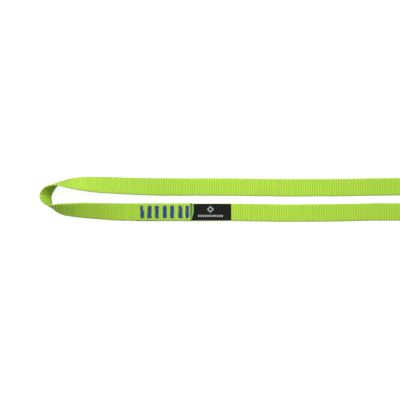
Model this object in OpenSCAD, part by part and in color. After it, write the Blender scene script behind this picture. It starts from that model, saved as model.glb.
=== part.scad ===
// Sewn webbing sling: one strip of nylon tape closed into a loop by a lap joint with a row of
// bar tacks, with a small folded label held under the last tack. It is laid out along X, its two
// strands flat and side by side, and at each end the tape stands on edge round an open bight.

/* [Loop] */
// Length of the laid-out loop from bight to bight
sling_length = 600; // [580:10:700]

/* [Webbing] */
// Width of the webbing
web_w = 20; // [18:0.5:21]
// Thickness of the webbing
web_t = 2.2; // [1.8:0.1:2.4]
// How far the webbing bows across its width where it stands on edge
bow = 2; // [0:0.1:2.5]

/* [Bar tacks] */
// Length of a bar tack, across the webbing
tack_len = 14; // [10:0.2:15]
// Width of a bar tack, along the webbing
tack_w = 4.2; // [2.4:0.2:4.2]
// Number of zigzag throws along one edge of a bar tack
tack_throws = 14; // [8:1:20]
// Thickness of the thread lying on the webbing
thread_t = 0.4; // [0.2:0.1:0.5]

/* [Label] */
// Width of the label, across the webbing
label_w = 18.4; // [14:0.2:18.6]
// Length of the label that stands free past the sealed end
label_len = 40.5; // [30:0.5:42]
// Thickness of the folded label
label_t = 0.6; // [0.4:0.1:0.8]

/* [Hidden] */
tip_reach = 0.6; // how far the leaning webbing reaches past a bight's tip
half_len = sling_length / 2 - tip_reach;
steps = 4; // rings made from one route point to the next

// Heights of the stacked layers at the lap joint
lap_lift = thread_t;                    // the bobbin threads are under the inner layer
top_lift = lap_lift + web_t;            // the outer layer lies on the inner one
end_lift = top_lift + label_t;          // and on the label's root at its end

// Places along the near strand, measured from the left bight
inner_end_at = 107;
outer_end_at = 166;
root_at = 161;                          // where the label's tucked root begins
seal_len = 4.2;                         // length of the melted zone on the outer cut end
inner_seal_len = 2.4;                   // and on the inner one
hinge_gap = 1;                          // from the bead's tip to the label's hinge line
label_end_at = 216;                     // the inner layer stays lifted as far as this
outer_y = -14.05;                       // middle of the outer layer at the lap
inner_y = -14.35;                       // middle of the inner layer, which peeps out below it
label_y = -14;                           // middle of the label
tack_at = [112.6, 120.5, 128.8, 137.9, 146, 155.2, 162.9]; // middle of each tack
tack_y = -13.9;                         // and the middle of them all across the webbing

label_hinge_at = outer_end_at + seal_len + hinge_gap;

// Left bight, from the far strand round the tip to the near strand:
// distance from the tip, y, lean of the webbing from flat in degrees
left_bight = [
    [170, 13.9, 0], [145, 13.9, 2], [128, 14.1, 6], [114, 14.4, 10], [101, 14.8, 14],
    [82, 15.6, 19], [62, 16.5, 27], [48, 17.3, 39], [35, 17.8, 55], [27, 17.6, 69],
    [21.5, 16.9, 81], [17.5, 15.4, 92], [13.4, 13.3, 104], [9.8, 10.7, 115],
    [7, 7.6, 122], [6, 4, 125], [6.7, 0.5, 120], [8.9, -2.7, 109], [11.2, -5.3, 95],
    [14, -7.4, 80], [17.5, -9, 66], [24, -10.7, 52], [35, -11.7, 41], [48, -12.3, 29],
    [62, -12.9, 23], [76, -13.6, 13], [88, -14.1, 5]
];
// The strands between the bights: x, y
near_middle = [[-60, -14.7], [-30, -15.2], [0, -15.1], [30, -14.8], [75, -14]];
far_middle = [[75, 14], [30, 13.3], [0, 13.2], [-30, 13.1], [-75, 13.7]];
// Where the far strand lies flat again after the right bight: distance from the tip, y
far_start = [[100, 14.4], [120, 14.4], [160, 14.3]];

// Route points: x, y, lean, lift of the webbing's underside
bight_route = [for (p = left_bight) [p[0] - half_len, p[1], p[2], 0]];
turned_bight = [for (p = bight_route) [-p[0], -p[1], p[2], 0]];
lap_route = [
    for (at = [inner_end_at, outer_end_at, label_end_at]) [at - half_len, inner_y, 0, lap_lift]
];
near_route = [for (p = near_middle) [p[0], p[1], 0, 0]];
far_route = concat(
    [for (p = far_start) [half_len - p[0], p[1], 0, 0]],
    [for (p = far_middle) [p[0], p[1], 0, 0]]
);
top_steps = [[96, 0], [104, top_lift], [157.4, top_lift], [160.8, end_lift], [outer_end_at, end_lift]];
top_route = [for (p = top_steps) [p[0] - half_len, outer_y, 0, p[1]]];
route = concat(lap_route, near_route, turned_bight, far_route, bight_route, top_route);
fold_near = len(lap_route) + 2;
fold_far = len(lap_route) + len(near_route) + len(turned_bight) + len(far_start) + 2;

last = len(route) - 1;
function gap(i) = norm([route[i + 1][0] - route[i][0], route[i + 1][1] - route[i][1]]);
gaps = [for (i = [0:last - 1]) gap(i)];

// How the route's values change for each millimetre, at one of its points
function slope(i) =
    i == 0 ? (route[1] - route[0]) / gaps[0]
    : i == last ? (route[last] - route[last - 1]) / gaps[last - 1]
    : ((route[i + 1] - route[i]) * gaps[i - 1] / gaps[i] + (route[i] - route[i - 1]) * gaps[i] / gaps[i - 1])
        / (gaps[i] + gaps[i - 1]);

// x, y, lean and lift at a ring, on a smooth curve through the route's points
function ring_state(n) =
    let (i = min(floor(n / steps), last - 1),
         u = n / steps - i,
         ease = u * u * (3 - 2 * u),
         p = route[i] * (1 - ease) + route[i + 1] * ease
             + slope(i) * gaps[i] * u * (1 - u) * (1 - u) - slope(i + 1) * gaps[i] * u * u * (1 - u),
         lift = route[i][3] * (1 - ease) + route[i + 1][3] * ease)
    [p[0], p[1], max(p[2], 0), lift];

ring_total = last * steps + 1;
states = [for (n = [0:ring_total - 1]) ring_state(n)];

// One ring of eight corners: four across the outer face, then four back across the inner face
function ring(n) =
    let (s = states[n],
         before = states[max(n - 1, 0)],
         after = states[min(n + 1, ring_total - 1)],
         run = [after[0] - before[0], after[1] - before[1]],
         along = run / norm(run),
         inward = [-along[1], along[0], 0],
         across = cos(s[2]) * inward + [0, 0, sin(s[2])],
         up = -sin(s[2]) * inward + [0, 0, cos(s[2])],
         height = web_w / 2 * sin(s[2]) + web_t / 2 * abs(cos(s[2])) + s[3],
         middle = [s[0], s[1], height],
         crown = bow * pow(sin(s[2]), 8))
    concat(
        [for (a = [-3:2:3]) middle + across * web_w * a / 6 + up * (web_t / 2 + crown * (1 - a * a / 9))],
        [for (a = [3:-2:-3]) middle + across * web_w * a / 6 + up * (crown * (1 - a * a / 9) - web_t / 2)]
    );

// The webbing from one route point to another, as one closed solid
module webbing(from, to) {
    first = from * steps;
    rings = to * steps - first;
    points = [for (n = [first:to * steps]) each ring(n)];
    walls = [
        for (n = [0:rings - 1], k = [0:7])
            let (a = n * 8 + k, b = n * 8 + (k + 1) % 8)
            each [[a, b, b + 8], [a, b + 8, a + 8]]
    ];
    end_cap = [for (k = [0:2]) each [[k, 7 - k, k + 1], [k + 1, 7 - k, 6 - k]]];
    start = end_cap;
    finish = [for (f = end_cap) [f[2] + rings * 8, f[1] + rings * 8, f[0] + rings * 8]];
    color("yellowgreen") polyhedron(points, concat(walls, start, finish), convexity = 10);
}

// The melted zone along a cut end, rounded in plan; side is the way that it faces along X
module sealed_end(at, y, lift, side, length) {
    bulge = length * 0.45;
    radius = (pow(web_w / 2, 2) + bulge * bulge) / (2 * bulge);
    color("darkolivegreen")
        translate([at - half_len, y, lift])
            linear_extrude(web_t)
                intersection() {
                    translate([side > 0 ? 0 : -length, -web_w / 2]) square([length, web_w]);
                    translate([side * (length - radius), 0]) circle(r = radius, $fn = 180);
                }
}

// One face of a bar tack: a bar of thread with zigzag edges
module tack_thread(index, height) {
    pitch = tack_len / tack_throws;
    notch = tack_w * 0.08;
    color("royalblue")
        translate([tack_at[index] - half_len, tack_y - tack_len / 2, height])
            linear_extrude(thread_t)
                polygon(concat(
                    [for (k = [0:tack_throws]) [tack_w / 2 - (k % 2) * notch, k * pitch]],
                    [for (k = [tack_throws:-1:0]) [-tack_w / 2 + (k % 2) * notch, k * pitch]]
                ));
}

module needle_thread(index) {
    tack_thread(index, web_t + (tack_at[index] > root_at ? end_lift : top_lift));
}

module bobbin_thread(index) {
    tack_thread(index, 0);
}

module webbing_lap_run() {
    webbing(0, fold_near);
}

module webbing_right_run() {
    webbing(fold_near, fold_far);
}

module webbing_left_run() {
    webbing(fold_far, last);
}

module inner_sealed_end() {
    sealed_end(inner_end_at, inner_y, lap_lift, -1, inner_seal_len);
}

module outer_sealed_end() {
    sealed_end(outer_end_at, outer_y, end_lift, 1, seal_len);
}

// A strip of label on top of the inner layer, between two places along the strand
module label_strip(from, to) {
    color("black")
        translate([from - half_len, label_y - label_w / 2, top_lift])
            cube([to - from, label_w, label_t]);
}

module label_root() {
    label_strip(root_at, label_hinge_at);
}

module label_flap() {
    label_strip(label_hinge_at, label_hinge_at + label_len);
}

// A plain lozenge and a row of dashes, raised on the free end of the label
module label_mark() {
    mark_at = 188.6;
    mark_t = 0.15;
    dash = [1.6, 2.2];
    dash_pitch = 2.6;
    color("lightgray")
        translate([mark_at - half_len, label_y, top_lift + label_t])
            linear_extrude(mark_t) {
                translate([0, 2.9]) difference() {
                    circle(d = 7.6, $fn = 4);
                    circle(d = 4.4, $fn = 4);
                }
                for (k = [-5:5]) translate([k * dash_pitch, -4.4]) square(dash, center = true);
            }
}

webbing_lap_run();
webbing_left_run();
webbing_right_run();
inner_sealed_end();
outer_sealed_end();
for (i = [0:len(tack_at) - 1]) {
    needle_thread(i);
    bobbin_thread(i);
}
label_root();
label_flap();
label_mark();
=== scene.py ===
"""A sewn webbing sling: one strip of ribbed tape joined by bar tacks, with a folded label."""

import math

import bpy
import numpy as np
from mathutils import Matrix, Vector


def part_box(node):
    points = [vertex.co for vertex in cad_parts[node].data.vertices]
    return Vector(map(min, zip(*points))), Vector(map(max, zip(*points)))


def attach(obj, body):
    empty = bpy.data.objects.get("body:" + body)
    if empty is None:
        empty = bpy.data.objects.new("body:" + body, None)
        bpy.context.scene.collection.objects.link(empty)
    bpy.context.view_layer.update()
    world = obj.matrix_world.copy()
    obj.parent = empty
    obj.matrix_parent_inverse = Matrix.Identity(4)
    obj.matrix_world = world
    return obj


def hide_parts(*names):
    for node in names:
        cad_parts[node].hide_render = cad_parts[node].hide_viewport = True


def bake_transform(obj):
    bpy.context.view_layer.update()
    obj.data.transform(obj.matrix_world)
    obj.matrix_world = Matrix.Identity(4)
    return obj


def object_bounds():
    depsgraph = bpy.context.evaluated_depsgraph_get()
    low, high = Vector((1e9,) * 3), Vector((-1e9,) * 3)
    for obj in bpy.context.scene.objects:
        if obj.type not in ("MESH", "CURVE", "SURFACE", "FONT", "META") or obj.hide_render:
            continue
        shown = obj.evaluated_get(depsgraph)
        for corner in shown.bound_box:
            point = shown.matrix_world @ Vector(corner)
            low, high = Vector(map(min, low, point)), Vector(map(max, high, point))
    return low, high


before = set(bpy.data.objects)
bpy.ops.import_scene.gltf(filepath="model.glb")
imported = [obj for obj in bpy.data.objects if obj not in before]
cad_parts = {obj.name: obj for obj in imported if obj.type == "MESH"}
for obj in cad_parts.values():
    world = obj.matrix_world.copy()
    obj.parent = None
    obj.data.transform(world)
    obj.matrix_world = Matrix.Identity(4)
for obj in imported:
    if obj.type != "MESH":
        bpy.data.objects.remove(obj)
cad_low, cad_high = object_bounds()

MM = 0.001

# ---------------------------------------------------------------- sizes, in millimetres
TIP_REACH = 0.6
HALF_LEN = round(cad_high.x / MM) - TIP_REACH
WEB_W = 20.0
WEB_T = 2.2
BOW = 2.0
THREAD_T = 0.4
LABEL_T = 0.6
LAP_LIFT = THREAD_T
TOP_LIFT = LAP_LIFT + WEB_T
END_LIFT = TOP_LIFT + LABEL_T
INNER_END_AT = 107.0
OUTER_END_AT = 166.0
LIFT_END_AT = 216.0
OUTER_Y = -14.05
INNER_Y = -14.35

TACK_NUMBERS = range(1, 8)

RIB_PITCH = 2.68
RIB_RINGS = 6
RIB_DEPTH = 0.40
RIB_ROUNDNESS = 0.7
DEPTH_CHANGE, DEPTH_SEED = 0.14, 11
YARN_PITCH = 0.84
# How a rib strays from a straight line across the tape, bowed, slanted and waved: ribs, rings, seed
RIB_SWAY = [(0.17, 50, 5), (0.16, 36, 6), (0.07, 9, 7)]
# How much deeper the ribs are on the inner face where the tape stands on edge
CROWDING = 0.8
# The tape bows and crowds only where it stands nearly upright
UPRIGHT_POWER = 8
# How the tape strays sideways: millimetres, rings from one change to the next, seed
EDGE_WANDER, WANDER_RINGS, WANDER_SEED = 0.12, 40, 3
# Rings of points round the tape's section: steps on each flat and on each rounded edge
FLAT_STEPS = 12
EDGE_STEPS = 4
EDGE_RIB_GAIN = 0.5

# The strip's route, as in the frame: the left bight as distance from the tip, y, lean in degrees
LEFT_BIGHT = [
    (170, 13.9, 0), (145, 13.9, 2), (128, 14.1, 6), (114, 14.4, 10), (101, 14.8, 14),
    (82, 15.6, 19), (62, 16.5, 27), (48, 17.3, 39), (35, 17.8, 55), (27, 17.6, 69),
    (21.5, 16.9, 81), (17.5, 15.4, 92), (13.4, 13.3, 104), (9.8, 10.7, 115),
    (7, 7.6, 122), (6, 4, 125), (6.7, 0.5, 120), (8.9, -2.7, 109), (11.2, -5.3, 95),
    (14, -7.4, 80), (17.5, -9, 66), (24, -10.7, 52), (35, -11.7, 41), (48, -12.3, 29),
    (62, -12.9, 23), (76, -13.6, 13), (88, -14.1, 5),
]
NEAR_MIDDLE = [(-60, -14.7), (-30, -15.2), (0, -15.1), (30, -14.8), (75, -14)]
FAR_MIDDLE = [(75, 14), (30, 13.3), (0, 13.2), (-30, 13.1), (-75, 13.7)]
FAR_START = [(100, 14.4), (120, 14.4), (160, 14.3)]
TOP_STEPS = [(96, 0), (104, TOP_LIFT), (157.4, TOP_LIFT), (160.8, END_LIFT), (OUTER_END_AT, END_LIFT)]


def route_points():
    """Rows of x, y, lean and lift, from the inner cut end once round the loop to the outer one."""
    lap = [(at - HALF_LEN, INNER_Y, 0, LAP_LIFT) for at in (INNER_END_AT, OUTER_END_AT, LIFT_END_AT)]
    near = [(x, y, 0, 0) for x, y in NEAR_MIDDLE]
    left = [(at - HALF_LEN, y, lean, 0) for at, y, lean in LEFT_BIGHT]
    right = [(-x, -y, lean, lift) for x, y, lean, lift in left]
    far = [(HALF_LEN - at, y, 0, 0) for at, y in FAR_START] + [(x, y, 0, 0) for x, y in FAR_MIDDLE]
    top = [(at - HALF_LEN, OUTER_Y, 0, lift) for at, lift in TOP_STEPS]
    return np.array(lap + near + right + far + left + top, float)


def smooth_route(points, spacing=0.2):
    """The curve that the frame's solids follow, as rows of x, y, lean and lift close together."""
    gaps = np.linalg.norm(np.diff(points[:, :2], axis=0), axis=1)
    steps = np.diff(points, axis=0) / gaps[:, None]
    slopes = np.empty_like(points)
    slopes[0], slopes[-1] = steps[0], steps[-1]
    before, after = gaps[:-1, None], gaps[1:, None]
    slopes[1:-1] = (steps[1:] * before + steps[:-1] * after) / (before + after)
    rows = []
    for i, gap in enumerate(gaps):
        u = np.arange(0, 1, spacing / gap)[:, None]
        ease = u * u * (3 - 2 * u)
        row = points[i] * (1 - ease) + points[i + 1] * ease
        row[:, :3] += (slopes[i] * gap * u * (1 - u) ** 2 - slopes[i + 1] * gap * u * u * (1 - u))[:, :3]
        rows.append(row)
    rows = np.vstack(rows + [points[-1:]])
    rows[:, 2] = np.maximum(rows[:, 2], 0)
    return rows


def section_profile():
    """Places round the tape's section: across, through, the way each faces, and how much a rib shows."""
    radius = WEB_T / 2
    reach = WEB_W / 2 - radius
    rows = []
    for side in (1, -1):
        for k in range(FLAT_STEPS):
            rows.append((side * (-reach + 2 * reach * k / FLAT_STEPS), side * radius, 0, side, 1.0))
        for k in range(EDGE_STEPS):
            turn = math.pi * k / EDGE_STEPS
            rows.append((side * (reach + radius * math.sin(turn)), side * radius * math.cos(turn),
                         side * math.sin(turn), side * math.cos(turn), 1 + EDGE_RIB_GAIN * math.sin(turn)))
    return np.array(rows)


def build_strip():
    """Ring centres, frames and lengths along the whole strip."""
    rows = smooth_route(route_points())
    lean = np.radians(rows[:, 2])
    height = WEB_W / 2 * np.sin(lean) + WEB_T / 2 * np.abs(np.cos(lean)) + rows[:, 3]
    middle = np.column_stack([rows[:, :2], height])
    length = np.concatenate([[0], np.cumsum(np.linalg.norm(np.diff(middle, axis=0), axis=1))])
    ribs = int(round(length[-1] / RIB_PITCH))
    at = np.linspace(0, length[-1], ribs * RIB_RINGS + 1)
    run = np.gradient(rows[:, :2], axis=0)
    run /= np.linalg.norm(run, axis=1)[:, None]
    pick = lambda values: np.interp(at, length, values)
    along = np.column_stack([pick(run[:, 0]), pick(run[:, 1])])
    along /= np.linalg.norm(along, axis=1)[:, None]
    lean = pick(lean)
    inward = np.column_stack([-along[:, 1], along[:, 0], np.zeros(len(at))])
    up = np.array([0, 0, 1.0])
    across = np.cos(lean)[:, None] * inward + np.sin(lean)[:, None] * up
    outward = -np.sin(lean)[:, None] * inward + np.cos(lean)[:, None] * up
    middle = np.column_stack([pick(middle[:, k]) for k in range(3)])
    return {"middle": middle, "across": across, "outward": outward, "lean": lean, "at": at, "ribs": ribs}


def smooth_noise(count, spacing, seed):
    """Random values from -1 to 1, one for each ring, that change over about spacing rings."""
    knots = np.random.default_rng(seed).uniform(-1, 1, int(count / spacing) + 3)
    return np.interp(np.arange(count) / spacing, np.arange(len(knots)), knots)


def mesh_object(name, verts, faces, uv=None):
    """A Blender mesh in metres from points in millimetres; uv holds one pair for each face corner."""
    mesh = bpy.data.meshes.new(name)
    mesh.from_pydata((np.asarray(verts) * MM).tolist(), [], [tuple(f) for f in faces])
    if uv is not None:
        layer = mesh.uv_layers.new(name="strip")
        layer.data.foreach_set("uv", np.asarray(uv, np.float32).ravel())
    mesh.polygons.foreach_set("use_smooth", [True] * len(mesh.polygons))
    mesh.validate()
    mesh.update()
    obj = bpy.data.objects.new(name, mesh)
    bpy.context.scene.collection.objects.link(obj)
    return obj


def tack_places():
    """The middle of each bar tack, from the frame: x and y."""
    places = []
    for number in TACK_NUMBERS:
        low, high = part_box(f"bar_tack_{number}_needle_thread")
        places.append(((low.x + high.x) / 2 / MM, (low.y + high.y) / 2 / MM))
    return places


def rib_numbers(strip, across):
    """How many ribs along the strip each point is; the ribs are never quite straight across it."""
    count = len(strip["at"])
    phase = strip["at"] / strip["at"][-1] * strip["ribs"]
    turn = math.pi * across / WEB_W
    sway = 0
    for (size, spacing, seed), shape in zip(RIB_SWAY, (np.cos(turn), np.sin(turn), np.sin(2 * turn))):
        sway = sway + size * np.outer(smooth_noise(count, spacing, seed), shape)
    return phase[:, None] + sway


def ribbed_points(strip, profile, rib):
    """The strip's points, ring by ring, with every rib raised from the tape."""
    count = len(strip["at"])
    across, through, face_across, face_through, share = profile.T
    upright = np.sin(strip["lean"]) ** UPRIGHT_POWER
    depth = RIB_DEPTH * (1 + DEPTH_CHANGE * smooth_noise(count, RIB_RINGS, DEPTH_SEED))
    swell = np.abs(np.sin(math.pi * rib)) ** RIB_ROUNDNESS - 1
    crowd = 1 + CROWDING * np.outer(upright, face_through < -0.5)
    push = depth[:, None] * share[None, :] * swell * crowd
    crown = BOW * upright
    edge_wander = EDGE_WANDER * smooth_noise(count, WANDER_RINGS, WANDER_SEED)
    return (
        strip["middle"][:, None, :]
        + strip["across"][:, None, :] * (across + face_across * push + edge_wander[:, None])[:, :, None]
        + strip["outward"][:, None, :] * (
            through + face_through * push + crown[:, None] * (1 - (across / (WEB_W / 2)) ** 2)
        )[:, :, None]
    )


def make_webbing():
    """The whole strip as one mesh; its uv holds the place round the section and the rib's number."""
    strip = build_strip()
    profile = section_profile()
    count, around = len(strip["at"]), len(profile)
    rib = rib_numbers(strip, profile[:, 0])
    points = ribbed_points(strip, profile, rib)
    press_tacks(points, strip, profile)
    ring = np.arange(around)
    start = np.arange(count - 1)[:, None] * around
    a, b = start + ring, start + (ring + 1) % around
    faces = np.stack([a, b, b + around, a + around], axis=-1).reshape(-1, 4)
    girth = np.linspace(0, 2 * (WEB_W + WEB_T * 0.6), around + 1)
    u0, u1 = np.broadcast_to(girth[:-1], a.shape), np.broadcast_to(girth[1:], a.shape)
    next_rib = np.roll(rib, -1, axis=1)
    uv = np.stack([u0, rib[:-1], u1, next_rib[:-1], u1, next_rib[1:], u0, rib[1:]], axis=-1).reshape(-1, 2)
    caps = [tuple(ring), tuple((count - 1) * around + ring[::-1])]
    uv = np.vstack([uv, np.zeros((2 * around, 2))])
    obj = mesh_object("sling_webbing", points.reshape(-1, 3), [*faces.tolist(), *caps], uv)
    return obj, strip["at"][-1]


# The hollow that a tack presses in the tape: its depth, its reach along and across the tape, how
# softly it ends, and the lower face's share of it
PRESS_DEPTH = 0.34
PRESS_ALONG = 2.3
PRESS_ACROSS = 7.4
PRESS_SOFTNESS = 0.5
LOWER_PRESS = 0.6


def press_tacks(points, strip, profile):
    """The tape is drawn in under each tack's thread, on the lap's upper and lower faces."""
    ring_x = strip["middle"][:, 0]
    near = (strip["middle"][:, 1] < 0) & (ring_x < LIFT_END_AT - HALF_LEN)
    outer_layer = near & (strip["at"] > strip["at"][-1] / 2)
    inner_layer = near & (strip["at"] < strip["at"][-1] / 2)
    upper_face = outer_layer[:, None] & (profile[:, 3] > 0.5)[None, :]
    lower_face = inner_layer[:, None] & (profile[:, 3] < -0.5)[None, :]
    for x, y in tack_places():
        y_off = np.abs(points[:, :, 1] - y)
        width = 1 / (1 + np.exp((y_off - PRESS_ACROSS) / PRESS_SOFTNESS))
        dip = PRESS_DEPTH * np.exp(-(((points[:, :, 0] - x) / PRESS_ALONG) ** 4)) * width
        points[:, :, 2] -= np.where(upper_face, dip, 0)
        points[:, :, 2] += np.where(lower_face, dip * LOWER_PRESS, 0)


def tube(path, radius, sides=6):
    """Points and faces of a closed round tube along a path."""
    path = np.asarray(path, float)
    run = np.gradient(path, axis=0)
    run /= np.linalg.norm(run, axis=1)[:, None]
    side = np.cross(run, [0, 0, 1.0])
    side /= np.maximum(np.linalg.norm(side, axis=1), 1e-6)[:, None]
    other = np.cross(side, run)
    turn = np.arange(sides) * 2 * math.pi / sides
    radii = np.broadcast_to(radius, len(path))[:, None, None]
    verts = path[:, None, :] + radii * (
        side[:, None, :] * np.cos(turn)[None, :, None] + other[:, None, :] * np.sin(turn)[None, :, None]
    )
    faces = []
    for n in range(len(path) - 1):
        for k in range(sides):
            a, b = n * sides + k, n * sides + (k + 1) % sides
            faces.append((a, a + sides, b + sides, b))
    faces.append(tuple(range(sides)))
    faces.append(tuple((len(path) - 1) * sides + k for k in reversed(range(sides))))
    return verts.reshape(-1, 3), faces


# The edges of each tack, from its near end to its far end: share of its length, left and right edge
TACK_EDGES = [
    [(0, -1.8, 2.0), (0.2, -1.7, 1.9), (0.35, -2.0, 2.0), (0.45, -1.7, 2.4), (0.6, -1.4, 1.7),
     (0.68, -2.0, 0.6), (0.8, -1.5, 0.8), (1, -1.9, 0.7)],
    [(0, -2.0, 2.4), (0.2, -2.0, 2.0), (0.3, -2.2, 1.9), (0.45, -1.8, 2.3), (0.6, -1.6, 2.6),
     (0.72, -2.0, 1.8), (0.84, -1.2, 2.6), (1, -1.6, 1.9)],
    [(0, -1.3, 3.0), (0.06, -1.4, 1.5), (0.28, -1.8, 1.4), (0.4, -1.3, 2.3), (0.52, -1.6, 1.3),
     (0.6, -1.6, 2.5), (0.73, -2.2, 1.2), (0.84, -1.6, 3.1), (0.9, -1.8, 1.4), (1, -2.2, 0.9)],
    [(0, -2.0, 2.4), (0.2, -2.4, 2.0), (0.5, -1.9, 2.0), (0.76, -2.6, 1.9), (0.86, -1.9, 2.1),
     (1, -2.0, 1.5)],
    [(0, -2.1, 2.2), (0.2, -1.8, 1.8), (0.32, -2.4, 1.9), (0.65, -1.8, 2.1), (0.8, -2.3, 1.8),
     (1, -2.0, 1.8)],
    [(0, -1.7, 3.0), (0.08, -2.0, 1.7), (0.2, -2.5, 2.2), (0.31, -1.7, 1.6), (0.42, -2.7, 1.9),
     (0.52, -1.4, 2.1), (0.6, -2.0, 1.9), (0.7, -1.2, 2.4), (0.83, -1.7, 1.5), (1, -1.7, 1.0)],
    [(0, -1.1, 0.9), (0.1, -1.5, 1.4), (0.19, -1.8, 2.0), (0.35, -1.6, 1.8), (0.46, -2.2, 1.2),
     (0.56, -1.6, 1.4), (0.74, -1.5, 1.6), (1, -1.3, 1.5)],
]
# Loose thread ends: tack number, share of the way up it, reach along x
THREAD_TAILS = [
    (1, 0.69, -3.1), (2, 0.02, 3.6), (3, 0.84, 3.4), (3, 0.03, 3.4), (6, 0.02, 3.6), (7, 0.84, -2.2),
]
THROW_PITCH = 0.35
THREAD_RADIUS = 0.21
TAIL_THINNING = 0.9
EDGE_TURN = 0.30
JAG_PITCH = 2.3
JAG_DEPTH = 0.34
REACH_SCATTER = 0.08
THROW_SCATTER = 0.05
THROW_STEPS = (0.12, 0.35, 0.65, 0.88)
# How rounded a throw is over the tape, and how far it dives into the tape at each edge
THROW_ROUNDNESS = 0.6
EDGE_DIVE = 0.9
# How much shorter the thread is than its node, and where it starts and how far it stands off the tape
TACK_MARGIN = 0.3
UPPER_SINK, UPPER_RISE = -0.10, 0.30
LOWER_SINK, LOWER_RISE = 0.02, -0.22


def tack_path(edges, x, y, length, base, lift, seed):
    """A zigzag from one edge of the tack to the other and back, rising over the tape at each throw."""
    draws = np.random.default_rng(seed)
    shares, left, right = np.array(edges, float).T
    starts = draws.uniform(0, 2 * math.pi, 2)
    throws = int(length / THROW_PITCH)
    path = []
    for k in range(throws + 1):
        share = k / throws
        side = 1 if k % 2 else -1
        jag = JAG_DEPTH * math.sin(2 * math.pi * length * share / JAG_PITCH + starts[k % 2])
        reach = np.interp(share, shares, right if side > 0 else left) + draws.normal(0, REACH_SCATTER)
        reach += side * (EDGE_TURN + jag)
        edge = (x + reach, y - length / 2 + length * share + draws.normal(0, THROW_SCATTER))
        if path:
            last = path[-1]
            for t in THROW_STEPS:
                rise = math.sin(math.pi * t) ** THROW_ROUNDNESS
                path.append((last[0] + (edge[0] - last[0]) * t, last[1] + (edge[1] - last[1]) * t,
                             base + lift * rise))
        path.append((edge[0], edge[1], base - lift * EDGE_DIVE))
    return path


def tail_path(x, y, reach, base, lift):
    """A loose thread end: a short wavy line out of the tack."""
    return [(x + reach * t, y + 0.5 * math.sin(2.4 * t), base + lift * 0.75 + 0.12 * math.sin(5 * t))
            for t in np.linspace(0.3, 1, 9)]


def make_tack(number, face):
    """The thread of one tack on the tape's upper or lower face, with its loose ends."""
    node = f"bar_tack_{number}_{'needle' if face == 'upper' else 'bobbin'}_thread"
    low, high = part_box(node)
    x, y = (low.x + high.x) / 2 / MM, (low.y + high.y) / 2 / MM
    length = (high.y - low.y) / MM - TACK_MARGIN
    if face == "upper":
        base, lift = low.z / MM + UPPER_SINK, UPPER_RISE
    else:
        base, lift = high.z / MM + LOWER_SINK, LOWER_RISE
    path = tack_path(TACK_EDGES[number - 1], x, y, length, base, lift, number)
    points, faces = tube(path, THREAD_RADIUS)
    verts = [points]
    for tack, share, reach in THREAD_TAILS:
        if tack != number or face != "upper":
            continue
        start_y = y - length / 2 + length * share
        more, more_faces = tube(tail_path(x, start_y, reach, base, lift), THREAD_RADIUS * TAIL_THINNING)
        offset = sum(len(v) for v in verts)
        verts.append(more)
        faces += [tuple(i + offset for i in f) for f in more_faces]
    obj = mesh_object(f"bar_tack_{number}_{face}_thread", np.vstack(verts), faces)
    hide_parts(node)
    return obj


# Where the melted lip is fullest, as a share of the half-width, and how much of it is lost towards
# the lower corner of the outer end and of the inner one
LIP_CREST = 0.28
OUTER_FALL = 0.84
INNER_FALL = 0.20
UPPER_FALL = 0.10
CORNER_FROM, CORNER_LOSS = 0.9, 0.45
# How far the melted end reaches back into the tape
SEAL_LAP = 0.2
SEAL_ROWS = 110
SEAL_TURNS = 40
SEAL_SINK = 0.08
SEAL_SEEDS = {1: 31, -1: 32}
# The ends of the lip thin out, and its outline is squarish: along the strand and upright
TAPER_FROM, TAPER_RATE = 0.93, 5
SQUARE_ALONG, SQUARE_UP = 0.55, 0.5
LUMP_REACH, LUMP_RISE = 0.10, 0.07
# The bead and the groove on the upper face: height or depth, place along the lip, half-width
BEAD = (0.20, 0.80, 0.13)
GROOVE = (0.62, 0.33, 0.16)
GROOVE_WANDER = 0.04


def lip_reach(share, fall):
    """How far the melted lip stands out, from 0 to 1, with its corners rounded off."""
    if share < LIP_CREST:
        reach = 1 - fall * ((LIP_CREST - share) / (1 + LIP_CREST)) ** 2
    else:
        reach = 1 - UPPER_FALL * ((share - LIP_CREST) / (1 - LIP_CREST)) ** 2
    return reach * (1 - CORNER_LOSS * max(0, (abs(share) - CORNER_FROM) / 0.1) ** 3)


def smoothed_draws(draws, count, width):
    """Random values, one for each row, each the mean of its neighbours over the width."""
    return np.convolve(draws.normal(0, 1, count + 8), np.ones(width) / width, "same")[4:-4]


def ridge(at, size, middle, half_width):
    return size * math.exp(-(((at - middle) / half_width) ** 2))


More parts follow.
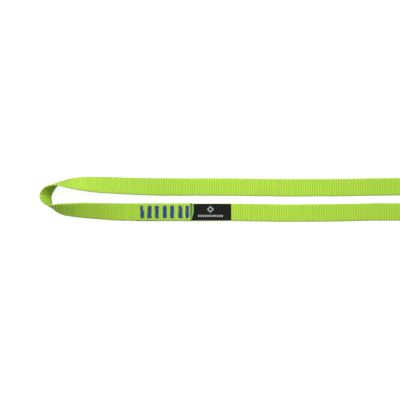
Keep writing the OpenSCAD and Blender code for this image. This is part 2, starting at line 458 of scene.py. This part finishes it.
def make_sealed_end(name, node, side, fall):
    """The melted zone on a cut end: a groove where the ribs ran together, and a lumpy rounded lip."""
    low, high = (np.array(corner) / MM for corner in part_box(node))
    length, width, thick = high - low
    draws = np.random.default_rng(SEAL_SEEDS[side])
    rows, turns = SEAL_ROWS, SEAL_TURNS
    lumps = smoothed_draws(draws, rows, 5)
    ripple = smoothed_draws(draws, rows, 3)
    verts, marks = [], []
    for j in range(rows):
        share = j / (rows - 1) * 2 - 1
        y = (low[1] + high[1]) / 2 + share * width / 2
        reach = length * lip_reach(share, fall) + LUMP_REACH * lumps[j]
        taper = 1 - max(0, abs(share) - TAPER_FROM) * TAPER_RATE
        for k in range(turns):
            turn = 2 * math.pi * k / turns
            c, s = math.cos(turn), math.sin(turn)
            # a squarish outline: upright against the tape, and rounded at the lip
            forward = 0.5 + 0.5 * math.copysign(abs(c) ** SQUARE_ALONG, c)
            up = thick / 2 * math.copysign(abs(s) ** SQUARE_UP, s) * taper
            if s > 0.3:
                groove = ridge(forward - GROOVE_WANDER * ripple[j], *GROOVE)
                up += (ridge(forward, *BEAD) - groove + LUMP_RISE * lumps[j] * forward) * taper
            along = reach * forward - SEAL_LAP * (1 - forward)
            x = (low[0] + along) if side > 0 else (high[0] - along)
            verts.append((x, y, (low[2] + high[2]) / 2 - SEAL_SINK + up))
            marks.append((forward, share))
    faces = []
    for j in range(rows - 1):
        for k in range(turns):
            a, b = j * turns + k, j * turns + (k + 1) % turns
            faces.append((a, b, b + turns, a + turns) if side > 0 else (a, a + turns, b + turns, b))
    first, last = tuple(range(turns)), tuple((rows - 1) * turns + k for k in range(turns))
    faces += [first[::-1], last] if side > 0 else [first, last[::-1]]
    uv = [marks[i] for face in faces for i in face]
    obj = mesh_object(name, verts, faces, uv)
    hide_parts(node)
    return obj


# One leaf's thickness, its gap to the node's faces, and the steps along it, finer about its crease
LEAF = 0.25
LEAF_GAP = 0.01
CREASE_REACH = 1.6
COARSE_STEP, FINE_STEP = 0.8, 0.2
FOLD_POINTS = 9
LABEL_COLUMNS = 20


def make_label():
    """A woven strip folded double: from its root out to the fold, and back on top of itself."""
    root_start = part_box("label_root")[0].x / MM
    low, high = (np.array(corner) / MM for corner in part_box("label_flap"))
    lower_z, upper_z = low[2] + LEAF / 2 + LEAF_GAP, high[2] - LEAF / 2 - LEAF_GAP
    mid, bend = (lower_z + upper_z) / 2, (upper_z - lower_z) / 2
    fold_x = high[0] - bend - LEAF / 2
    hinge = low[0]
    crease_start, crease_end = hinge - CREASE_REACH, hinge + CREASE_REACH
    xs = np.concatenate([np.arange(root_start, crease_start, COARSE_STEP),
                         np.arange(crease_start, crease_end, FINE_STEP),
                         np.arange(crease_end, fold_x, COARSE_STEP), [fold_x]])
    turn = np.linspace(-math.pi / 2, math.pi / 2, FOLD_POINTS)[1:-1]
    line = [(x, lower_z) for x in xs]
    line += [(fold_x + bend * math.cos(t), mid + bend * math.sin(t)) for t in turn]
    line += [(x, upper_z) for x in xs[::-1]]
    line = np.array(line)
    run = np.gradient(line, axis=0)
    run /= np.linalg.norm(run, axis=1)[:, None]
    normal = np.column_stack([run[:, 1], -run[:, 0]])
    length = np.concatenate([[0], np.cumsum(np.linalg.norm(np.diff(line, axis=0), axis=1))])
    ys = np.linspace(low[1], high[1], LABEL_COLUMNS + 1)
    verts = []
    for n, (x, z) in enumerate(line):
        for sign in (1, -1):
            off = sign * LEAF / 2
            for y in ys[::sign]:
                verts.append((x + normal[n, 0] * off, y, z + normal[n, 1] * off))
    around = 2 * (LABEL_COLUMNS + 1)
    faces, uv = [], []
    place = np.concatenate([ys - ys[0], ys[::-1] - ys[0]])
    for n in range(len(line) - 1):
        for k in range(around):
            k2 = (k + 1) % around
            a, b = n * around + k, n * around + k2
            faces.append((a, b, b + around, a + around))
            uv += [(place[k], length[n]), (place[k2], length[n])]
            uv += [(place[k2], length[n + 1]), (place[k], length[n + 1])]
    faces.append(tuple(range(around))[::-1])
    faces.append(tuple((len(line) - 1) * around + k for k in range(around)))
    uv += [(0, 0)] * (2 * around)
    obj = mesh_object("folded_label", verts, faces, uv)
    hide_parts("label_root", "label_flap")
    return obj, length[-1], hinge, high[2]


# ---------------------------------------------------------------- materials
class Nodes:
    """Short calls for building a material's node tree."""

    def __init__(self, name):
        self.material = bpy.data.materials.new(name)
        self.material.use_nodes = True
        self.tree = self.material.node_tree
        self.tree.nodes.clear()
        self.output = self.tree.nodes.new("ShaderNodeOutputMaterial")
        self.shader = self.tree.nodes.new("ShaderNodeBsdfPrincipled")
        self.tree.links.new(self.shader.outputs[0], self.output.inputs["Surface"])

    def put(self, socket, value):
        if isinstance(value, bpy.types.NodeSocket):
            self.tree.links.new(value, socket)
        else:
            socket.default_value = value

    def math(self, operation, a, b=0.0, clamp=False):
        node = self.tree.nodes.new("ShaderNodeMath")
        node.operation = operation
        node.use_clamp = clamp
        self.put(node.inputs[0], a)
        self.put(node.inputs[1], b)
        return node.outputs[0]

    def above(self, value, start, gain):
        """A share that grows from nothing once the value has passed the start."""
        return self.math("MULTIPLY", self.math("SUBTRACT", value, start, clamp=True), gain)

    def ridges(self, value):
        """One round ridge for each half turn of the value."""
        return self.math("ABSOLUTE", self.math("SINE", value))

    def split(self, vector):
        node = self.tree.nodes.new("ShaderNodeSeparateXYZ")
        self.tree.links.new(vector, node.inputs[0])
        return node.outputs

    def uv(self):
        node = self.tree.nodes.new("ShaderNodeUVMap")
        node.uv_map = "strip"
        parts = self.split(node.outputs[0])
        return node.outputs[0], parts[0], parts[1]

    def place(self):
        return self.tree.nodes.new("ShaderNodeTexCoord").outputs["Object"]

    def noise(self, vector, scale, detail=2.0, stretch=None):
        if stretch is not None:
            mapping = self.tree.nodes.new("ShaderNodeMapping")
            self.tree.links.new(vector, mapping.inputs["Vector"])
            mapping.inputs["Scale"].default_value = stretch
            vector = mapping.outputs[0]
        node = self.tree.nodes.new("ShaderNodeTexNoise")
        self.tree.links.new(vector, node.inputs["Vector"])
        node.inputs["Scale"].default_value = scale
        node.inputs["Detail"].default_value = detail
        return node.outputs["Fac"]

    def mix(self, share, a, b):
        node = self.tree.nodes.new("ShaderNodeMix")
        node.data_type = "RGBA"
        self.put(node.inputs["Factor"], share)
        self.put(node.inputs["A"], a)
        self.put(node.inputs["B"], b)
        return node.outputs["Result"]

    def ramp(self, value, stops):
        node = self.tree.nodes.new("ShaderNodeValToRGB")
        self.tree.links.new(value, node.inputs[0])
        while len(node.color_ramp.elements) < len(stops):
            node.color_ramp.elements.new(0.5)
        for element, (at, colour) in zip(node.color_ramp.elements, stops):
            element.position = at
            element.color = colour
        return node.outputs[0]

    def bump(self, height, distance, strength, after=None):
        node = self.tree.nodes.new("ShaderNodeBump")
        node.inputs["Strength"].default_value = strength
        node.inputs["Distance"].default_value = distance * MM
        self.tree.links.new(height, node.inputs["Height"])
        if after is not None:
            self.tree.links.new(after, node.inputs["Normal"])
        return node.outputs[0]

    def set(self, **values):
        for name, value in values.items():
            self.put(self.shader.inputs[name.replace("_", " ")], value)
        return self.material


def grey(value):
    return (value, value, value, 1.0)


LIME = (0.450, 0.730, 0.050, 1.0)
LIME_DEEP = (0.280, 0.495, 0.024, 1.0)
LIME_PALE = (0.560, 0.830, 0.100, 1.0)
# Painted shade for the valleys between ribs
LIME_PAINTED_VALLEY_SHADE = (0.170, 0.300, 0.009, 1.0)
# Where the tape is darker: share of the way along the sling from its left end, and how much
DARKER_SPAN_REACH = 0.60
DARKER_SPAN_STOPS = [(0.07, 0.0), (0.12, 0.50), (0.22, 0.50), (0.30, 0.0), (0.45, 0.0), (0.62, 0.28)]


def webbing_material():
    """Dyed tape: each rib is a row of yarns; the valleys between ribs and the gaps between yarns are
    darkened as painted shade.
    """
    n = Nodes("ribbed webbing")
    vector, girth, rib = n.uv()
    row = n.math("FLOOR", rib)
    across = n.math("ADD", n.math("DIVIDE", girth, YARN_PITCH), n.math("MULTIPLY", row, 0.5))
    slant = n.math("MULTIPLY", n.math("SUBTRACT", n.math("FRACT", rib), 0.5), 0.35)
    across = n.math("ADD", across, slant)
    float_round = n.math("POWER", n.ridges(n.math("MULTIPLY", across, math.pi)), 0.6)
    rib_round = n.math("POWER", n.ridges(n.math("MULTIPLY", rib, math.pi)), 0.75)
    weave = n.math("MULTIPLY", float_round, rib_round)
    fibre = n.noise(vector, 1.0, 3.0, stretch=(14.0, 1.6, 1.0))
    one_yarn = n.noise(vector, 1.0, 0.0, stretch=(1.3, 1.1, 1.0))
    one_rib = n.noise(vector, 1.0, 0.0, stretch=(0.05, 0.9, 1.0))
    place = n.place()
    cloud = n.noise(place, 45.0, 3.0)
    from_left = n.math("DIVIDE", n.math("ADD", n.split(place)[0], DARKER_SPAN_REACH / 2), DARKER_SPAN_REACH)
    # Darker in the spans given above, by place along the sling
    darker_share = n.ramp(from_left, [(at, grey(amount)) for at, amount in DARKER_SPAN_STOPS])
    # Painted shade: the colour darkens into the valleys between ribs
    base = n.mix(rib_round, LIME_PAINTED_VALLEY_SHADE, n.mix(darker_share, LIME, LIME_DEEP))
    # Painted shade: darker in the gaps between yarn floats
    base = n.mix(n.math("MULTIPLY", n.math("SUBTRACT", 1.0, float_round), 0.45), base, LIME_DEEP)
    base = n.mix(n.above(fibre, 0.45, 0.8), base, LIME_PALE)
    base = n.mix(n.above(one_yarn, 0.5, 0.9), base, LIME_DEEP)
    base = n.mix(n.above(one_rib, 0.42, 0.8), base, LIME_DEEP)
    base = n.mix(n.above(cloud, 0.45, 0.8), base, LIME_DEEP)
    fine = n.bump(fibre, 0.05, 0.6)
    normal = n.bump(weave, 0.20, 0.8, after=fine)
    n.set(Base_Color=base, Roughness=0.62, Normal=normal)
    n.set(Sheen_Weight=0.12, Sheen_Roughness=0.45, Specular_IOR_Level=0.3)
    n.shader.inputs["Sheen Tint"].default_value = (0.9, 1.0, 0.6, 1.0)
    return n.material


def sealed_material():
    """Melted tape, glassy and darker than the tape, with painted shade in the groove and a painted
    highlight that makes the lip paler.
    """
    n = Nodes("melted webbing")
    vector, forward, share = n.uv()
    place = n.place()
    lumps = n.noise(place, 420.0, 3.0)
    streak = n.noise(vector, 1.0, 2.0, stretch=(2.0, 22.0, 1.0))
    warped = n.math("ADD", forward, n.math("MULTIPLY", n.math("SUBTRACT", streak, 0.5), 0.22))
    # Melted tape is darker than the tape; painted shade darkens the groove further and a painted highlight
    # brightens the lip
    base = n.ramp(warped, [(0.04, (0.300, 0.520, 0.050, 1)), (0.20, (0.052, 0.130, 0.014, 1)),
                           (0.48, (0.058, 0.150, 0.018, 1)), (0.64, (0.170, 0.390, 0.060, 1)),
                           (0.84, (0.270, 0.520, 0.110, 1)), (1.00, (0.100, 0.310, 0.045, 1))])
    low_end = n.above(n.math("MULTIPLY", share, -1.0), 0.2, 0.7)
    base = n.mix(low_end, base, (0.085, 0.400, 0.040, 1))
    base = n.mix(n.above(lumps, 0.45, 1.4), base, (0.06, 0.15, 0.02, 1))
    n.set(Base_Color=base, Roughness=0.36, Normal=n.bump(lumps, 0.25, 0.5))
    n.set(Specular_IOR_Level=0.4, Coat_Weight=0.15, Coat_Roughness=0.25)
    return n.material


def thread_material():
    """Blue sewing thread, a little uneven in its dye."""
    n = Nodes("bonded thread")
    place = n.place()
    twist = n.noise(place, 1.0, 2.0, stretch=(2600.0, 3800.0, 2600.0))
    patch = n.noise(place, 520.0, 2.0)
    base = n.ramp(patch, [(0.35, (0.010, 0.034, 0.190, 1)), (0.65, (0.022, 0.066, 0.270, 1))])
    base = n.mix(n.above(twist, 0.5, 0.9), base, (0.04, 0.10, 0.34, 1))
    n.set(Base_Color=base, Roughness=0.52, Normal=n.bump(twist, 0.05, 0.6))
    n.set(Sheen_Weight=0.08, Sheen_Roughness=0.4, Specular_IOR_Level=0.25)
    return n.material


def label_material():
    """Black satin, with slanting rows of weft over a fine warp."""
    n = Nodes("satin label")
    _, across, along = n.uv()
    slanted = n.math("ADD", along, n.math("MULTIPLY", across, 0.35))
    rows = n.ridges(n.math("MULTIPLY", slanted, 11.0))
    warp = n.ridges(n.math("MULTIPLY", across, 14.0))
    weave = n.math("MULTIPLY", rows, n.math("ADD", n.math("MULTIPLY", warp, 0.5), 0.5))
    cloud = n.noise(n.place(), 300.0, 3.0)
    base = n.ramp(weave, [(0.1, (0.0022, 0.0024, 0.0026, 1)), (0.9, (0.0060, 0.0066, 0.0068, 1))])
    base = n.mix(n.math("MULTIPLY", cloud, 0.3), base, (0.010, 0.011, 0.011, 1))
    n.set(Base_Color=base, Roughness=0.60, Normal=n.bump(weave, 0.05, 0.6))
    n.set(Sheen_Weight=0.02, Sheen_Roughness=0.5, Specular_IOR_Level=0.13)
    return n.material


WEFT_PITCH = 0.26
WARP_PITCH = 0.55


def mark_material():
    """Grey yarn woven into the label."""
    n = Nodes("woven mark")
    place = n.place()
    parts = n.split(place)
    weft = n.ridges(n.math("MULTIPLY", parts[1], math.pi / (WEFT_PITCH * MM)))
    warp = n.ridges(n.math("MULTIPLY", parts[0], math.pi / (WARP_PITCH * MM)))
    weave = n.math("MULTIPLY", weft, n.math("ADD", n.math("MULTIPLY", warp, 0.4), 0.6))
    fibre = n.noise(place, 2400.0, 2.0)
    base = n.ramp(weave, [(0.05, grey(0.20)), (0.75, grey(0.46))])
    base = n.mix(n.math("MULTIPLY", fibre, 0.3), base, grey(0.30))
    n.set(Base_Color=base, Roughness=0.55, Normal=n.bump(weave, 0.06, 0.6))
    n.set(Sheen_Weight=0.15, Sheen_Roughness=0.4, Specular_IOR_Level=0.3)
    return n.material


def dress(obj, material, body):
    """Give a piece its material and slot, and the body that it rides on, if it rides on just one."""
    obj.data.materials.clear()
    obj.data.materials.append(material)
    if body:
        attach(obj, body)


# ---------------------------------------------------------------- camera, light and floor, in metres
CAMERA_X, CAMERA_Y, CAMERA_HEIGHT = -0.1224, -0.00067, 1.241
CAMERA_FIELD = 0.4468
FLOOR_HALF = 6.0
FLOOR_DROP = 0.05 * MM
FLOOR_ALBEDO = 0.45
FLOOR_WHITE = 0.80
WORLD_LIGHT, WORLD_WHITE = 0.43, 1.0
LIT_PLACE = (-0.06, 0, 0)


def make_camera():
    """Straight above the sewn end of the sling, far enough off that the tape keeps its width."""
    data = bpy.data.cameras.new("camera")
    data.sensor_width = 36.0
    data.lens = data.sensor_width * CAMERA_HEIGHT / CAMERA_FIELD
    data.clip_start, data.clip_end = 0.05, 20.0
    camera = bpy.data.objects.new("camera", data)
    camera.location = (CAMERA_X, CAMERA_Y, CAMERA_HEIGHT)
    bpy.context.scene.collection.objects.link(camera)
    bpy.context.scene.camera = camera


def soft_box(name, azimuth, elevation, distance, size, power):
    """A round soft light aimed at the sewn end; azimuth 0 is towards +Y and -90 towards -X."""
    data = bpy.data.lights.new(name, "AREA")
    data.shape = "DISK"
    data.size = size
    data.energy = power
    lamp = bpy.data.objects.new(name, data)
    turn, rise = math.radians(azimuth), math.radians(elevation)
    towards = Vector((math.sin(turn) * math.cos(rise), math.cos(turn) * math.cos(rise), math.sin(rise)))
    lamp.location = Vector(LIT_PLACE) + distance * towards
    lamp.rotation_mode = "QUATERNION"
    lamp.rotation_quaternion = (-towards).to_track_quat("-Z", "Y")
    bpy.context.scene.collection.objects.link(lamp)


def make_light():
    """An even world that looks white, a key light from behind the sling and a weaker fill from its left."""
    world = bpy.data.worlds.new("studio")
    world.use_nodes = True
    background = world.node_tree.nodes["Background"]
    background.inputs["Color"].default_value = grey(1.0)
    path = world.node_tree.nodes.new("ShaderNodeLightPath")
    seen = world.node_tree.nodes.new("ShaderNodeMapRange")
    seen.inputs["To Min"].default_value = WORLD_LIGHT
    seen.inputs["To Max"].default_value = WORLD_WHITE
    world.node_tree.links.new(path.outputs["Is Camera Ray"], seen.inputs["Value"])
    world.node_tree.links.new(seen.outputs["Result"], background.inputs["Strength"])
    bpy.context.scene.world = world
    soft_box("key", azimuth=0, elevation=50, distance=0.8, size=0.5, power=6.6)
    soft_box("fill", azimuth=-90, elevation=35, distance=1.0, size=0.6, power=1.8)
    bpy.context.scene.view_settings.view_transform = "Standard"


def make_floor():
    """A pale floor that lights the sling from below as matt card does, and looks almost evenly white."""
    corners = [(x, y, -FLOOR_DROP) for x, y in ((-1, -1), (1, -1), (1, 1), (-1, 1))]
    corners = np.array(corners) * (FLOOR_HALF, FLOOR_HALF, 1) / MM
    obj = mesh_object("floor", corners, [(0, 1, 2, 3)])
    n = Nodes("floor")
    n.set(Base_Color=grey(FLOOR_ALBEDO), Roughness=0.9, Specular_IOR_Level=0.1)
    path = n.tree.nodes.new("ShaderNodeLightPath")
    glow = n.tree.nodes.new("ShaderNodeEmission")
    glow.inputs["Color"].default_value = grey(1.0)
    glow.inputs["Strength"].default_value = FLOOR_WHITE
    shade = n.tree.nodes.new("ShaderNodeAddShader")
    n.tree.links.new(n.shader.outputs[0], shade.inputs[0])
    n.tree.links.new(glow.outputs[0], shade.inputs[1])
    pick = n.tree.nodes.new("ShaderNodeMixShader")
    n.tree.links.new(path.outputs["Is Camera Ray"], pick.inputs[0])
    n.tree.links.new(n.shader.outputs[0], pick.inputs[1])
    n.tree.links.new(shade.outputs[0], pick.inputs[2])
    n.tree.links.new(pick.outputs[0], n.output.inputs["Surface"])
    obj.data.materials.append(n.material)


make_camera()
make_light()
make_floor()

webbing, strip_length = make_webbing()
dress(webbing, webbing_material(), None)
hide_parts("webbing_lap_run", "webbing_left_run", "webbing_right_run")
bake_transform(webbing)

sealed = sealed_material()
outer_end = make_sealed_end("outer_melted_end", "outer_sealed_end", 1, OUTER_FALL)
inner_end = make_sealed_end("inner_melted_end", "inner_sealed_end", -1, INNER_FALL)
for sealed_end in (outer_end, inner_end):
    dress(sealed_end, sealed, "sewn_half")

thread = thread_material()
for number in TACK_NUMBERS:
    for face in ("upper", "lower"):
        dress(make_tack(number, face), thread, "sewn_half")

label, label_length, hinge_x, label_top = make_label()
dress(label, label_material(), None)
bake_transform(label)

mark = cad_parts["label_mark"]
mark.data.materials.clear()
mark.data.materials.append(mark_material())
